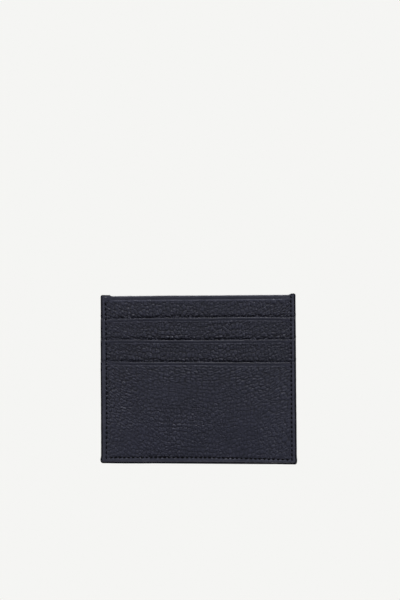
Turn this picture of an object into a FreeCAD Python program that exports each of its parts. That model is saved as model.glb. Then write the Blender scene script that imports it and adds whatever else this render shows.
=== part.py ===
import FreeCAD, Part
import os

# Leather card holder: three stepped card slots on each face and a centre pocket open at the top.
# X runs across the width, Y through the thickness with the front at -Y, and Z is up.
# The origin is the middle of the bottom edge. Every size is in millimetres.

# Standard bank card, which sets the room inside
card_thickness = 0.76
card_ease = 0.04

# Outline
width = 96.0
height = 83.0
top_dip = 0.6
ear_width = 3.2
ear_ramp = 1.6
bottom_corner_radius = 1.0

# Mouths of the slots, as heights above the bottom edge
pocket_mouth = 49.9
slot_pitch = 10.85
middle_mouth = pocket_mouth + slot_pitch
upper_mouth = middle_mouth + slot_pitch

# Thickness of the sheets and of the room between them
lining = 0.10
panel_leather = 0.50
strip_leather = 0.35
pocket_leather = 0.55
slot_gap = card_thickness + card_ease
centre_gap = card_thickness + card_ease

# Seams
edge_paint = 0.35
edge_top_radius = 0.315
mouth_paint = 0.20
paint_join = 1.5
seam_inset = 2.5
margin_width = 3.8
strip_overlap = 3.0
stop_height = 2.0

# Thread
stitch_pitch = 2.35
stitch_length = 1.70
stitch_width = 0.50
stitch_rise = 0.12
stitch_bevel = 0.08
tack_pitch = 4.7

# Two coordinates closer than this are the same
tolerance = 1e-6

FRONT = -1
BACK = 1
half_width = width / 2
inner_half_width = half_width - edge_paint
clear_half_width = half_width - margin_width
inner_corner_radius = bottom_corner_radius - edge_paint
slot_depth = pocket_mouth - margin_width
middle_stop = middle_mouth - slot_depth
upper_stop = upper_mouth - slot_depth

# Distances of each sheet from the middle plane, from the centre pocket outwards
panel_lining_in = centre_gap / 2
panel_leather_in = panel_lining_in + lining
panel_face = panel_leather_in + panel_leather
upper_lining_in = panel_face + slot_gap
upper_leather_in = upper_lining_in + lining
upper_face = upper_leather_in + strip_leather
middle_lining_in = upper_face + slot_gap
middle_leather_in = middle_lining_in + lining
middle_face = middle_leather_in + strip_leather
pocket_lining_in = middle_face + slot_gap
pocket_leather_in = pocket_lining_in + lining
pocket_face = pocket_leather_in + pocket_leather

# Each step of the stack: the height where it ends and the distance of its outer face
steps = [
    (pocket_mouth, pocket_face),
    (middle_mouth, middle_face),
    (upper_mouth, upper_face),
    (height, panel_face),
]


def block(x_low, x_high, y_one, y_two, z_low, z_high):
    """A box between two X, two Y and two Z planes, with the Y planes in either order."""
    y_low = min(y_one, y_two)
    corner = FreeCAD.Vector(x_low, y_low, z_low)
    return Part.makeBox(x_high - x_low, abs(y_two - y_one), z_high - z_low, corner)


def extrude_xz(wire, y_one, y_two):
    """The flat XZ outline, drawn at Y = 0, made solid between two Y planes."""
    y_low = min(y_one, y_two)
    face = Part.Face(wire)
    face.translate(FreeCAD.Vector(0, y_low, 0))
    return face.extrude(FreeCAD.Vector(0, abs(y_two - y_one), 0))


def corner_arc(x_centre, z_centre, radius, start, end):
    """A quarter circle in the XZ plane; start and end are unit directions as (x, z)."""
    half = 2 ** -0.5
    mid = ((start[0] + end[0]) * half, (start[1] + end[1]) * half)
    points = []
    for direction in (start, mid, end):
        x = x_centre + radius * direction[0]
        z = z_centre + radius * direction[1]
        points.append(FreeCAD.Vector(x, 0, z))
    return Part.Arc(*points).toShape()


def sheet_outline(half, z_low, radius, top_points):
    """A closed outline with two round bottom corners; top_points run from right to left."""
    right = half - radius
    lower_right = corner_arc(right, z_low + radius, radius, (0, -1), (1, 0))
    lower_left = corner_arc(-right, z_low + radius, radius, (-1, 0), (0, -1))
    top = [FreeCAD.Vector(x, 0, z) for x, z in top_points]
    chain = [FreeCAD.Vector(half, 0, z_low + radius)] + top
    chain.append(FreeCAD.Vector(-half, 0, z_low + radius))
    base = Part.makeLine(FreeCAD.Vector(-right, 0, z_low), FreeCAD.Vector(right, 0, z_low))
    runs = [Part.makeLine(a, b) for a, b in zip(chain, chain[1:])]
    return Part.Wire(Part.__sortEdges__([base, lower_right] + runs + [lower_left]))


def eared_top(half, z_tip):
    """The top line from right to left: high at both corners, lower between them."""
    low = z_tip - top_dip
    inside = half - ear_width
    ramp_end = inside - ear_ramp
    right = [(half, z_tip), (inside, z_tip), (ramp_end, low)]
    left = [(-ramp_end, low), (-inside, z_tip), (-half, z_tip)]
    return right + left


def full_sheet(side, y_in, y_out, top_points):
    """A sheet that reaches down to the painted bottom edge."""
    wire = sheet_outline(inner_half_width, edge_paint, inner_corner_radius, top_points)
    return extrude_xz(wire, side * y_in, side * y_out)


def panel(side):
    """The board of one face: leather outside, and the lining of the centre pocket inside."""
    top = eared_top(inner_half_width, height - mouth_paint)
    leather = full_sheet(side, panel_leather_in, panel_face, top)
    cloth = full_sheet(side, panel_lining_in, panel_leather_in, top)
    painted = full_sheet(side, panel_lining_in, panel_face, eared_top(inner_half_width, height))
    bare = full_sheet(side, panel_lining_in, panel_face, top)
    coat = painted.cut(bare)
    return {"panel_leather": leather, "panel_lining": cloth, "panel_mouth_paint": coat}


def strip(side, y_lining, y_leather, y_face, mouth, next_mouth):
    """One stepped slot: a leather strip at its mouth and the cloth tail that hangs from it."""
    half = inner_half_width
    top = mouth - mouth_paint
    foot = mouth - slot_depth - stop_height
    leather = block(-half, half, side * y_leather, side * y_face, next_mouth - strip_overlap, top)
    cloth = block(-half, half, side * y_lining, side * y_leather, foot, top)
    coat = block(-half, half, side * y_lining, side * y_face, top, mouth)
    return {"leather": leather, "lining": cloth, "mouth_paint": coat}


def pocket(side):
    """The large lower panel with its lining and its painted mouth."""
    half = inner_half_width
    top = pocket_mouth - mouth_paint
    line = [(half, top), (-half, top)]
    leather = full_sheet(side, pocket_leather_in, pocket_face, line)
    cloth = full_sheet(side, pocket_lining_in, pocket_leather_in, line)
    coat = block(-half, half, side * pocket_lining_in, side * pocket_face, top, pocket_mouth)
    return {"pocket_leather": leather, "pocket_lining": cloth, "pocket_mouth_paint": coat}


def margin_leg(side, x_low, x_high, y_out, backing):
    """One glued side margin.

    backing lists, from the foot up, the heights between which each sheet lies
    behind the margin, and that sheet's distance from the middle plane.
    """
    profile = [(y_out, backing[0][0]), (y_out, backing[-1][1])]
    for low, high, y_in in reversed(backing):
        profile.append((y_in, high))
        profile.append((y_in, low))
    points = [FreeCAD.Vector(x_low, side * y, z) for y, z in profile]
    face = Part.Face(Part.makePolygon(points + points[:1]))
    return face.extrude(FreeCAD.Vector(x_high - x_low, 0, 0))


def margins(side, y_out, backing, stop):
    """The glued margins of one slot: a leg at each side, and the foot that a card stands on."""
    left = margin_leg(side, -inner_half_width, -clear_half_width, y_out, backing)
    right = margin_leg(side, clear_half_width, inner_half_width, y_out, backing)
    low, _, y_in = backing[0]
    foot = block(-clear_half_width, clear_half_width, side * y_in, side * y_out, low, stop)
    return Part.makeCompound([left, foot, right])


def slot_margins(side):
    """The margins of the three slots of one face, each resting on the sheets behind it."""
    upper_foot = upper_stop - stop_height
    middle_foot = middle_stop - stop_height
    upper_backing = [(upper_foot, upper_mouth, panel_face)]
    middle_backing = [
        (middle_foot, upper_foot, panel_face),
        (upper_foot, middle_mouth - strip_overlap, upper_leather_in),
        (middle_mouth - strip_overlap, middle_mouth, upper_face),
    ]
    pocket_backing = [
        (edge_paint, middle_foot, panel_face),
        (middle_foot, pocket_mouth - strip_overlap, middle_leather_in),
        (pocket_mouth - strip_overlap, pocket_mouth, middle_face),
    ]
    return {
        "upper_slot_margins": margins(side, upper_lining_in, upper_backing, upper_stop),
        "middle_slot_margins": margins(side, middle_lining_in, middle_backing, middle_stop),
        "pocket_margins": margins(side, pocket_lining_in, pocket_backing, margin_width),
    }


def centre_margins():
    """The glued margins of the centre pocket, between the two panel linings."""
    y = panel_lining_in
    left = block(-inner_half_width, -clear_half_width, -y, y, edge_paint, height - top_dip)
    right = block(clear_half_width, inner_half_width, -y, y, edge_paint, height - top_dip)
    foot = block(-clear_half_width, clear_half_width, -y, y, edge_paint, margin_width)
    return Part.makeCompound([left, foot, right])


def side_paint(side_x):
    """The painted edge of one side, whose thickness steps down at each slot mouth."""
    low = paint_join
    right_half = []
    for z_end, y_face in steps:
        right_half.append((y_face, low))
        right_half.append((y_face, z_end))
        low = z_end
    left_half = [(-y, z) for y, z in reversed(right_half)]
    points = [FreeCAD.Vector(0, y, z) for y, z in right_half + left_half]
    face = Part.Face(Part.makePolygon(points + points[:1]))
    face.translate(FreeCAD.Vector(min(side_x * inner_half_width, side_x * half_width), 0, 0))
    strip_solid = face.extrude(FreeCAD.Vector(edge_paint, 0, 0))
    outer_top = [e for e in strip_solid.Edges if on_line(e, side_x * half_width, height)]
    return strip_solid.makeFillet(edge_top_radius, outer_top)


def on_line(edge, x, z):
    """Whether an edge runs along Y at the given X and Z."""
    return all(abs(v.X - x) < tolerance and abs(v.Z - z) < tolerance for v in edge.Vertexes)


def bottom_paint():
    """The painted bottom edge with its two round corners; the holder stands on its flat underside."""
    outer_top = [(half_width, paint_join), (-half_width, paint_join)]
    inner_top = [(inner_half_width, height), (-inner_half_width, height)]
    outer = sheet_outline(half_width, 0, bottom_corner_radius, outer_top)
    inner = sheet_outline(inner_half_width, edge_paint, inner_corner_radius, inner_top)
    faces = (-pocket_face, pocket_face)
    return extrude_xz(outer, *faces).cut(extrude_xz(inner, *faces))


def face_distance(z):
    """How far the outer face of the stack lies from the middle plane at a height."""
    for z_end, y_face in steps:
        if z < z_end:
            return y_face
    return panel_face


def stitch(along_x, x, z, y_base, side):
    """One visible length of thread: a flat bar with bevelled top edges, lying on the leather."""
    long_half = stitch_length / 2
    short_half = stitch_width / 2
    half_x = long_half if along_x else short_half
    half_z = short_half if along_x else long_half
    y_top = side * (y_base + stitch_rise)
    bar = block(x - half_x, x + half_x, side * y_base, y_top, z - half_z, z + half_z)
    top = [e for e in bar.Edges if all(abs(v.Y - y_top) < tolerance for v in e.Vertexes)]
    return bar.makeChamfer(stitch_bevel, top)


def side_seam(side_x):
    """The run of stitches up one side, seen on both faces; none lies across a slot mouth."""
    x = side_x * (half_width - seam_inset)
    count = int((height - 2 * seam_inset) / stitch_pitch)
    bars = []
    for index in range(count + 1):
        z = seam_inset + index * stitch_pitch
        for mouth in (pocket_mouth, middle_mouth, upper_mouth):
            if abs(z - mouth) < stitch_length / 2:
                z = mouth + stitch_length / 2 if z > mouth else mouth - stitch_length / 2
        for side in (FRONT, BACK):
            bars.append(stitch(False, x, z, face_distance(z), side))
    return Part.makeCompound(bars)


def bottom_seam():
    """The run of stitches along the bottom, between the two side runs."""
    span = width - 2 * seam_inset
    count = round(span / stitch_pitch)
    bars = []
    for index in range(1, count):
        x = -span / 2 + index * span / count
        for side in (FRONT, BACK):
            bars.append(stitch(True, x, seam_inset, pocket_face, side))
    return Part.makeCompound(bars)


def tack_stitches(side, stop, y_base):
    """The hidden row that holds the foot of a slot's cloth tail to the panel."""
    span = 2 * clear_half_width - tack_pitch
    count = round(span / tack_pitch)
    z = stop - stop_height / 2
    bars = []
    for index in range(count + 1):
        bars.append(stitch(True, -span / 2 + index * span / count, z, y_base, side))
    return Part.makeCompound(bars)


def face_parts(side):
    """Every piece of one face."""
    parts = panel(side)
    upper = strip(side, upper_lining_in, upper_leather_in, upper_face, upper_mouth, middle_mouth)
    middle = strip(side, middle_lining_in, middle_leather_in, middle_face, middle_mouth, pocket_mouth)
    for name, shape in upper.items():
        parts["upper_slot_" + name] = shape
    for name, shape in middle.items():
        parts["middle_slot_" + name] = shape
    parts.update(pocket(side))
    parts.update(slot_margins(side))
    parts["upper_slot_tack_stitches"] = tack_stitches(side, upper_stop, upper_leather_in)
    parts["middle_slot_tack_stitches"] = tack_stitches(side, middle_stop, middle_leather_in)
    return parts


def all_parts():
    """Every node of the card holder, by name."""
    parts = {}
    for prefix, side in (("front_", FRONT), ("back_", BACK)):
        for name, shape in face_parts(side).items():
            parts[prefix + name] = shape
    parts["centre_pocket_margins"] = centre_margins()
    parts["edge_paint_left"] = side_paint(-1)
    parts["edge_paint_right"] = side_paint(1)
    parts["edge_paint_bottom"] = bottom_paint()
    parts["seam_stitches_left"] = side_seam(-1)
    parts["seam_stitches_right"] = side_seam(1)
    parts["seam_stitches_bottom"] = bottom_seam()
    return parts


os.makedirs("parts", exist_ok=True)
for node, node_shape in all_parts().items():
    node_shape.exportStep("parts/" + node + ".step")
    state = "valid" if node_shape.isValid() else "NOT VALID"
    print(node, state, round(node_shape.Volume, 2), len(node_shape.Solids))
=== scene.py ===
import math

import bpy
import numpy as np
from mathutils import Matrix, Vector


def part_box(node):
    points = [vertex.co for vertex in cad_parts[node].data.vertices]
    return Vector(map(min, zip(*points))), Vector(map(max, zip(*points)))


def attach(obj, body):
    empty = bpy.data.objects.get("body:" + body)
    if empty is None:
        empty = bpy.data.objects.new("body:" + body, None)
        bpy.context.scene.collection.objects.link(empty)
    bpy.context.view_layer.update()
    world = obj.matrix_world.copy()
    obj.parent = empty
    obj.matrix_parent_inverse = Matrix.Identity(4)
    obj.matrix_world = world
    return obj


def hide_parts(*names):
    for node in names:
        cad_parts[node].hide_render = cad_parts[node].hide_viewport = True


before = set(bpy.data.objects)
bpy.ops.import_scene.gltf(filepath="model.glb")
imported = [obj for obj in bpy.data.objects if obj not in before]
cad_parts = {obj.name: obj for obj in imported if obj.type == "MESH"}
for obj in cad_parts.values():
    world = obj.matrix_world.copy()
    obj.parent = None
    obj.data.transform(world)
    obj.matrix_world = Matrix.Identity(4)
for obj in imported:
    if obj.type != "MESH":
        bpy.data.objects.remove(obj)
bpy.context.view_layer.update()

# The looks of the leather card holder. Shapes are worked out in millimetres and
# put into the meshes in metres. X is the width, the front faces -Y, Z is up.

MM = 0.001

# ------------------------ sizes from the frame


def span(node):
    """Lowest and highest corner of a node, in millimetres."""
    low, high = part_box(node)
    return np.array(low) / MM, np.array(high) / MM


def depths(node):
    """Inner and outer distance of a node from the middle plane, in millimetres."""
    low, high = span(node)
    return sorted((abs(low[1]), abs(high[1])))


def centre(node, axis):
    """Middle of a node along one axis, in millimetres."""
    low, high = span(node)
    return (low[axis] + high[axis]) / 2


TACK_INSET = 1.6         # from the glued margin to the first tack stitch
SEAM_INSET = 0.1         # how much nearer to the middle the side seams lie than planned

HALF_WIDTH = span("edge_paint_right")[1][0]
HEIGHT = span("edge_paint_left")[1][2]
LEATHER_HALF = span("front_pocket_leather")[1][0]
CLEAR_HALF = TACK_INSET - span("front_upper_slot_tack_stitches")[0][0]
SEAM_X = centre("seam_stitches_right", 0) - SEAM_INSET
SEAM_Z = centre("seam_stitches_bottom", 2)
POCKET_MOUTH = span("front_pocket_mouth_paint")[1][2]
MIDDLE_MOUTH = span("front_middle_slot_mouth_paint")[1][2]
UPPER_MOUTH = span("front_upper_slot_mouth_paint")[1][2]

SIDES = {"front": -1, "back": 1}
LAYERS = ("panel", "upper_slot", "middle_slot", "pocket")
SLOT_MOUTHS = (POCKET_MOUTH, MIDDLE_MOUTH, UPPER_MOUTH)
MOUTHS = {"panel": HEIGHT, "upper_slot": UPPER_MOUTH, "middle_slot": MIDDLE_MOUTH, "pocket": POCKET_MOUTH}
NEXT = {"panel": "upper_slot", "upper_slot": "middle_slot", "middle_slot": "pocket", "pocket": None}
OUTER = {layer: depths("front_" + layer + "_leather")[1] for layer in LAYERS}
INNER = {layer: depths("front_" + layer + "_leather")[0] for layer in LAYERS}
CLOTH = {layer: depths("front_" + layer + "_lining")[0] for layer in LAYERS}
FOOT = {layer: span("front_" + layer + "_leather")[0][2] for layer in LAYERS}
CLOTH_FOOT = {layer: span("front_" + layer + "_lining")[0][2] for layer in LAYERS}

# Grain of the leather
SAG = 0.0052             # bend of the grain's rows, per mm
PEBBLE = (1.72, 2.15)    # large cells: length along a row, and height
SMALL_PEBBLE = 0.92
FOLD = (2.7, 1.40)       # cells of the long folds
GRAIN_MIDDLE = 0.6       # height of the grain that lies level with the sheet
GRAIN_DEPTH = {"panel": 0.50, "upper_slot": 0.50, "middle_slot": 0.50, "pocket": 0.48}
FOLD_SHARE = 0.12        # least share of folds in the grain
PULL_OUT = (20.0, 22.0)  # folds grow from this distance to each side, over this run
PULL_UP = (8.0, 16.0)    # and from this height
POCKET_FOLDS = (28.0, 16.0)
POCKET_LOW = (30.0, 14.0)          # the pocket is paler from this height down, over this run
POCKET_HIGH = (34.0, 10.0)         # and darker from this height up
POCKET_CALM = (24.0, 14.0)         # its grain is shallower to the right of this place
GRAIN_EDGE = (1.6, 2.2)            # the grain starts this far inside the edges
LIP_FADE = 1.8                     # and grows over this run below the smooth lip
HIDDEN_TONE = 0.5        # grain of the sides that don't show

# How the leather is pressed and worn
SIDE_SHARE = 0.58        # share of the open depth that is left at the two side seams
FOOT_SHARE = 0.78        # and at the bottom seam
SIDE_RAMP = 34.0
FOOT_RAMP = 40.0
SEAM_POWER = 2.3
MOUTH_LEAN = {"upper_slot": -0.20, "middle_slot": -0.20, "pocket": 0.08}   # how far a mouth leans in
MOUTH_LEAN_RUN = 5.5
TUCK = 0.34              # a sheet bends in where it passes behind the next mouth
TUCK_RUN = 1.4
TUCK_FADE = 9.0          # and comes back out below it
MOUTH_SET = {"upper_slot": (-0.12, 0.12, -0.36), "middle_slot": (-0.12, -0.08, 0.12),
             "pocket": (-0.10, -0.30, 0.05)}   # each mouth's rise, tilt and bow from its straight line
MOUTH_WAVE = 0.12
TOP_DIP = 0.62
LEFT_EAR = 4.3
RIGHT_EAR = 2.0
EAR_RAMP = 1.4
EAR_FOLD = (45.4, 1.20)  # fold under the left ear with a painted highlight: distance from the middle and from the top
EAR_FOLD_SIZE = (1.3, 0.40)
EAR_FOLD_RISE = 0.16
TOP_CORNER = 1.0
BOTTOM_CORNER = 1.0
FOOT_BOW = 0.38
FOOT_SKEW = 0.8          # the bow's top lies to the right of the middle
SIDE_FLARE = 0.22        # the left edge stands out more and more towards the foot
CORNER_FLARE = 0.30      # and has a small swelling above its corner
CREASE_DROP = {"panel": 1.90, "upper_slot": 1.32, "middle_slot": 1.32, "pocket": 1.36}
CREASE_DEPTH = {"panel": 0.22, "upper_slot": 0.20, "middle_slot": 0.20, "pocket": 0.20}
CREASE_WIDTH = 0.36
CREASE_END = 1.6         # the pressed line ends this far before the side seams
CREASE_FADE = 3.5
LIP_SWELL = (0.05, 0.7, 0.35)      # height, drop and width of the swelling under a mouth
SMOOTH_LIP = {"panel": 1.9, "upper_slot": 0.9, "middle_slot": 0.9, "pocket": 0.9}
# reach below each mouth of the burnished band, which also carries a painted highlight
BURNISH_HIGHLIGHT_RUN = {"panel": 3.0, "upper_slot": 1.2, "middle_slot": 1.2, "pocket": 1.2}
SEAM_DEPTH = 0.13
SEAM_WIDTH = 0.36
HOLE_DEPTH = 0.16
HOLE_WIDTH = 0.30
CHANNEL_SHARE = 0.08     # depth of the channel between two stitches, as a share
PRESS_EASE = 0.4
RIDGE = 0.06             # smooth swelling just outside the seams
RIDGE_PLACE = 0.85
RIDGE_WIDTH = 0.38

# Thread
SEAM_SHIFT = 0.30        # both side seams lie a little to the right
FOOT_SEAM = (0.99, -0.24, -0.70)   # the bottom seam's line over its plan: rise, tilt and bow
LEFT_SEAM = (0.22, -0.68)          # the left seam's bow: at its middle, and towards its ends
LEFT_SEAM_SPAN = (38.0, 42.0)      # height of that middle, and from it to the ends
SIDE_PITCH = {-1: 2.43, 1: 2.25}
SIDE_CLEAR = {-1: 2.6, 1: 0.9}     # bare height above the last stitch
SIDE_STITCH = 1.30
FOOT_PITCH = 2.21
FOOT_STITCH = 1.50
SIDE_RADIUS = 0.34
FOOT_RADIUS = 0.37
SIDE_PRESS = 0.95                  # half length that each stitch presses in
FOOT_PRESS = 1.05
THREAD_SINK = 0.05
THREAD_DIVE = 0.30                 # drop of a stitch's ends into its needle holes
THREAD_SLANT = 0.10
THREAD_STEPS = 7
THREAD_SIDES = 6
TACKS = 19

# Painted edge, mouths and glued feet
EDGE_WIDTH = {"left": 1.00, "right": 0.84, "bottom": 1.10}
EDGE_POWER = 4.5
EDGE_JOIN = 1.5          # height where the side coats meet the bottom coat
EDGE_SOFTEN = 0.35       # reach over which the paint levels the steps of the stack
EDGE_INSIDE = 0.6
NIB = 0.08               # paint stands out above each slot mouth
ROUND_DEPTH = 0.38
ROUND_RUN = 1.5
COAT_DROP = 0.50         # from a mouth's line down to its coat's lower edge
LEATHER_DROP = 0.22      # and to the top of the leather
CLOTH_DROP = 0.30        # and of the lining
COAT_BULGE = (0.035, 0.015)        # how far the coat stands out, and how much that varies
STOP_RISE = 2.0
FOOT_GLUE = 1.3          # height of the glued foot above the bottom seam
MARGIN_DROP = 0.9        # from a mouth down to the top of its margins
MARGIN_INSET = 0.1

# Steps of the meshes
FINE = 0.235
COARSE = 2.0
COAT_STEP = 0.45
EDGE_STEP = 0.3
MARGIN_STEPS = (1.5, 0.8)
HIDDEN_GRAIN = 1.2       # the fine rows start this far below the next mouth

# Colours, as linear light
# The crease colour is painted shade; the dome, rubbed and fold colours are painted highlights.
LEATHER_CREASE_SHADE = (0.0036, 0.0040, 0.0094)
LEATHER_BODY = (0.0137, 0.0148, 0.0275)
LEATHER_DOME_HIGHLIGHT = (0.0250, 0.0265, 0.0445)
LEATHER_RUBBED_HIGHLIGHT = (0.0298, 0.0312, 0.0470)
LEATHER_FOLD_HIGHLIGHT = (0.1300, 0.1300, 0.1500)
# painted shade: each layer's grain tone is lowered by this much
GRAIN_SHADE_DROP = {"panel": 0.04, "upper_slot": 0.08, "middle_slot": 0.09, "pocket": 0.0}
# painted highlight on each mouth's coat, as a place on the lip colours' ramp
COAT_HIGHLIGHT = {"panel": 1.0, "upper_slot": 0.50, "middle_slot": 0.42, "pocket": 0.34}
EDGE_DARK = (0.0022, 0.0024, 0.0062)
EDGE_PALE = (0.0052, 0.0054, 0.0110)
# lit copies of the mouth paint: painted highlights along the mouths
LIP_DIM_HIGHLIGHT = (0.0260, 0.0270, 0.0400)
LIP_BRIGHT_HIGHLIGHT = (0.0700, 0.0710, 0.0900)
BACKDROP = (0.913, 0.913, 0.896)

# Studio
CAMERA_DISTANCE = 0.55
CAMERA_AZIMUTH = 5.94
CAMERA_HEIGHT = 0.0822
CAMERA_YAW = -0.140
CAMERA_PITCH = -0.219
CAMERA_ROLL = -0.48
CAMERA_LENS = 67.37
LAMP_AIM = (0, 0, 0.04)
LAMPS = {                # each lamp's place, size and power
    "key_above": ((0.12, -0.80, 1.52), (0.46, 0.30), 32.0),
    "fill_front": ((-0.15, -1.10, 0.35), (0.9, 0.7), 0.3),
    "side_left": ((-1.20, -0.28, 0.25), (0.7, 0.9), 8.0),
    "side_right": ((1.20, -0.28, 0.25), (0.7, 0.9), 10.0),
    "back_above": ((-0.10, 0.60, 0.75), (0.60, 0.35), 9.0),
}
WORLD_STRENGTH = 0.40
WORLD_STOPS = [(0.0, (0.60, 0.60, 0.60)), (0.5, (0.35, 0.35, 0.36)), (1.0, (0.9, 0.9, 0.9))]


# ------------------------ fields over a sheet


def ease(t):
    """The cubic 3t^2 - 2t^3, held at 0 and 1 outside its range."""
    t = np.clip(t, 0.0, 1.0)
    return t * t * (3.0 - 2.0 * t)


def grown(value, place):
    """ease() over a run from a start, given as (start, run)."""
    start, run = place
    return ease((value - start) / run)


def drift(x, z, size, seed):
    """Smooth random field from -1 to 1: lattice values size mm apart, blended by ease()."""
    table = np.random.default_rng(seed).uniform(-1.0, 1.0, (64, 64))
    a, b = x / size + 100.0, z / size + 100.0
    i, j = np.floor(a).astype(int), np.floor(b).astype(int)
    s, t = ease(a - i), ease(b - j)
    low = table[i % 64, j % 64] * (1 - s) + table[(i + 1) % 64, j % 64] * s
    high = table[i % 64, (j + 1) % 64] * (1 - s) + table[(i + 1) % 64, (j + 1) % 64] * s
    return low * (1 - t) + high * t


def bell(t):
    """The bell exp(-t^2)."""
    return np.exp(-t * t)


def cells(a, b, seed):
    """Jittered lattice cells: distances to the nearest and second nearest point, and a value per cell."""
    table = np.random.default_rng(seed).uniform(0.0, 1.0, (96, 96, 3))
    i, j = np.floor(a).astype(int), np.floor(b).astype(int)
    first = np.full(a.shape, 9.0)
    second = np.full(a.shape, 9.0)
    value = np.zeros(a.shape)
    for di in (-1, 0, 1):
        for dj in (-1, 0, 1):
            random = table[(i + di) % 96, (j + dj) % 96]
            point_a = i + di + 0.1 + 0.8 * random[..., 0]
            point_b = j + dj + 0.1 + 0.8 * random[..., 1]
            gap = np.hypot(point_a - a, point_b - b)
            nearer = gap < first
            second = np.where(nearer, first, np.minimum(second, gap))
            value = np.where(nearer, random[..., 2], value)
            first = np.where(nearer, gap, first)
    return first, second, value


def pebbles(x, z, seed):
    """Leather grain from 0 in the creases to 1 on the domes.

    Two sizes of jittered cells, on rows that follow a curve z = c x^2 like a sagging
    line, so that the domes lie slanted towards the side seams. With n and f the
    distances to the two nearest points, a large dome is the mean of a flat top,
    ease((f - n) / 0.42), and a round one, sqrt((f - n) / 1.1), both lower away from
    their point; a crease lies where f = n.
    """
    row = z - SAG * x * x + 1.1 * drift(x, z, 9.0, seed + 1) + 0.35 * drift(x, z, 2.6, seed + 7)
    along = x + 1.1 * drift(x, z, 8.0, seed + 2) + 0.35 * drift(x, z, 2.6, seed + 8)
    near, far, value = cells(along / PEBBLE[0] + 40.0, row / PEBBLE[1] + 40.0, seed + 4)
    flat = ease((far - near) / 0.42) * (1.0 - 0.60 * near * near)
    round_top = np.sqrt(np.clip((far - near) / 1.1, 0.0, 1.0)) * (1.0 - 0.8 * near * near)
    dome = 0.5 * flat + 0.5 * round_top
    near, far, _ = cells(along / SMALL_PEBBLE + 80.0, row / SMALL_PEBBLE + 80.0, seed + 5)
    small = ease((far - near) / 0.55)
    share = 0.30 + 0.16 * drift(x, z, 6.0, seed + 6)
    return np.clip(dome * (0.60 + 0.40 * value) * (1 - share) + small * share, 0.0, 1.0)


def wrinkles(x, z, seed):
    """Long folds along the same curve: ease((f - n) / 0.5) over cells twice as long as high."""
    row = z - 1.2 * SAG * x * x + 0.9 * drift(x, z, 7.0, seed + 11)
    near, far, value = cells(x / FOLD[0] + 50.0, row / FOLD[1] + 50.0, seed + 12)
    return ease((far - near) / 0.50) * (0.7 + 0.3 * value)


def between_ears(x):
    """0 on the two ears of the top edge, 1 between them."""
    return ease((x + HALF_WIDTH - LEFT_EAR) / EAR_RAMP) * ease((HALF_WIDTH - RIGHT_EAR - x) / EAR_RAMP)


def mouth_line(layer, x, side):
    """Height of a sheet's top edge at x.

    A slot's is mouth + rise + tilt t + bow t^2 with t = x / seam, and wavers a
    little. The panel's dips between two ears and has a quarter circle at each end.
    """
    seed = 31 * LAYERS.index(layer) + 7 * (side + 1)
    wave = MOUTH_WAVE * drift(x, 0 * x, 15.0, seed) + 0.04 * drift(x, 0 * x, 3.0, seed + 1)
    calm = ease((SEAM_X - np.abs(x)) / 6.0)
    if layer != "panel":
        rise, tilt, bow = MOUTH_SET[layer]
        across = x / SEAM_X
        return MOUTHS[layer] + rise + tilt * across + bow * across * across + wave * calm
    line = HEIGHT - 0.06 - TOP_DIP * between_ears(x) + 0.5 * wave * calm
    inside = np.clip(np.abs(x) - (LEATHER_HALF - TOP_CORNER + 0.3), 0.0, TOP_CORNER)
    return line - (TOP_CORNER - np.sqrt(TOP_CORNER ** 2 - inside ** 2))


def foot_bow(x):
    """The bottom edge bows up a little between its two ends, as (1 - t^2)(1 + s t) with t = x/w."""
    t = np.clip(x / LEATHER_HALF, -1.0, 1.0)
    return FOOT_BOW * (1 - t * t) * (1 + FOOT_SKEW * t)


def foot_line(x, foot):
    """Height of a sheet's lower edge at x: foot + bow + r - sqrt(r^2 - d^2), d mm into a corner."""
    radius = BOTTOM_CORNER - (HALF_WIDTH - LEATHER_HALF)
    inside = np.clip(np.abs(x) - (LEATHER_HALF - radius), 0.0, radius)
    return foot + foot_bow(x) + radius - np.sqrt(radius ** 2 - inside ** 2)


def spread(x, z):
    """Share of the open depth, 1 - (p^4 + q^4)^(1/4).

    p and q are the pinches of a side seam and of the bottom seam, which fade as
    (1 - t)^power over a ramp.
    """
    across = np.clip((SEAM_X - np.abs(x)) / SIDE_RAMP, 0.0, 1.0)
    up = np.clip((z - SEAM_Z) / FOOT_RAMP, 0.0, 1.0)
    beside = (1 - SIDE_SHARE) * (1 - across) ** SEAM_POWER
    above = (1 - FOOT_SHARE) * (1 - up) ** SEAM_POWER
    return 1 - (beside ** 4 + above ** 4) ** 0.25


def inward(layer, x, z, side):
    """How far a sheet is pushed in: lean ease(1 - drop / run) at its mouth, and a tuck behind the next."""
    push = 0.0 * x
    if layer != "panel":
        push = push + MOUTH_LEAN[layer] * ease(1 - (mouth_line(layer, x, side) - z) / MOUTH_LEAN_RUN)
    if NEXT[layer]:
        above = z - mouth_line(NEXT[layer], x, side)
        push = push + TUCK * np.where(above > 0, ease(1 - above / TUCK_RUN), ease(1 + above / TUCK_FADE))
    return push * spread(x, z)


def sheet_depth(layer, depth, x, z, side):
    """Distance from the middle plane of the point that lies depth out in the flat stack."""
    return depth * spread(x, z) - inward(layer, x, z, side)


def foot_seam(x):
    """Height of the bottom seam at x: a + b t + c t^2 over its plan, with t from -1 to 1."""
    t = (x - SEAM_SHIFT) / SEAM_X
    return SEAM_Z + FOOT_SEAM[0] + FOOT_SEAM[1] * t + FOOT_SEAM[2] * t * t


def side_line(sign, z):
    """Place in x of a side seam at z: straight on the right, a + b t^2 out of line on the left."""
    middle, reach = LEFT_SEAM_SPAN
    t = (z - middle) / reach
    bow = LEFT_SEAM[0] + LEFT_SEAM[1] * t * t if sign < 0 else 0.0 * z
    return sign * SEAM_X + SEAM_SHIFT + bow


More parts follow.
